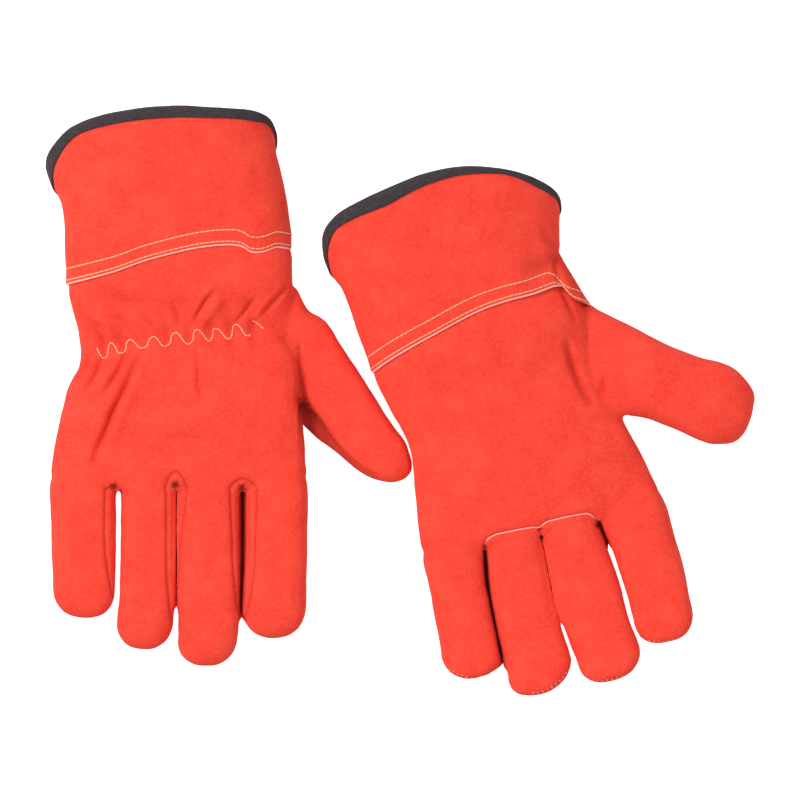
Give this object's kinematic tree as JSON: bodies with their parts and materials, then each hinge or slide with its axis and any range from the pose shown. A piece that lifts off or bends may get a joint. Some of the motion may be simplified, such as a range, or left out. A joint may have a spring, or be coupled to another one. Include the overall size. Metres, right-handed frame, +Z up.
{
  "type": "welding gloves",
  "caption": "Leather welding gloves with a short flared cuff, bound mouth, gathered wrist and fleece lining, laid out back up and palm up.",
  "frame": {"origin": "middle of the pair's outline, on the surface that it lies on", "axes": "+X across the pair from the right-hand glove to the left-hand one, +Y from the right-hand glove's fingertips to its cuff, +Z up"},
  "size_m": [0.3402, 0.2844, 0.0555],
  "materials": {
    "leather": "split suede, matt",
    "fleece": "brushed cotton, matt",
    "canvas": "plain weave, matt",
    "tape": "woven tape, matt",
    "elastic": "ribbed elastic, matt"
  },
  "bodies": {
    "right_glove": {"right_fourchette_little_ring": "leather", "right_fourchette_ring_middle": "leather", "right_fourchette_middle_index": "leather", "right_back": "leather", "right_palm": "leather", "right_ring_front": "leather", "right_middle_front": "leather", "right_thumb_back": "leather", "right_hand_lining": "fleece", "right_wrist_elastic": "elastic", "right_cuff_back": "leather", "right_cuff_palm": "leather", "right_cuff_lining": "canvas", "right_cuff_binding": "tape"},
    "left_glove": {"left_fourchette_little_ring": "leather", "left_fourchette_ring_middle": "leather", "left_fourchette_middle_index": "leather", "left_back": "leather", "left_palm": "leather", "left_ring_front": "leather", "left_middle_front": "leather", "left_thumb_back": "leather", "left_hand_lining": "fleece", "left_wrist_elastic": "elastic", "left_cuff_back": "leather", "left_cuff_palm": "leather", "left_cuff_lining": "canvas", "left_cuff_binding": "tape"}
  },
  "joints": [
    {"name": "left_glove_lift", "type": "slide", "parent": "right_glove", "child": "left_glove", "axis": [0, 0, 1], "range_m": [0, 0.15]}
  ]
}
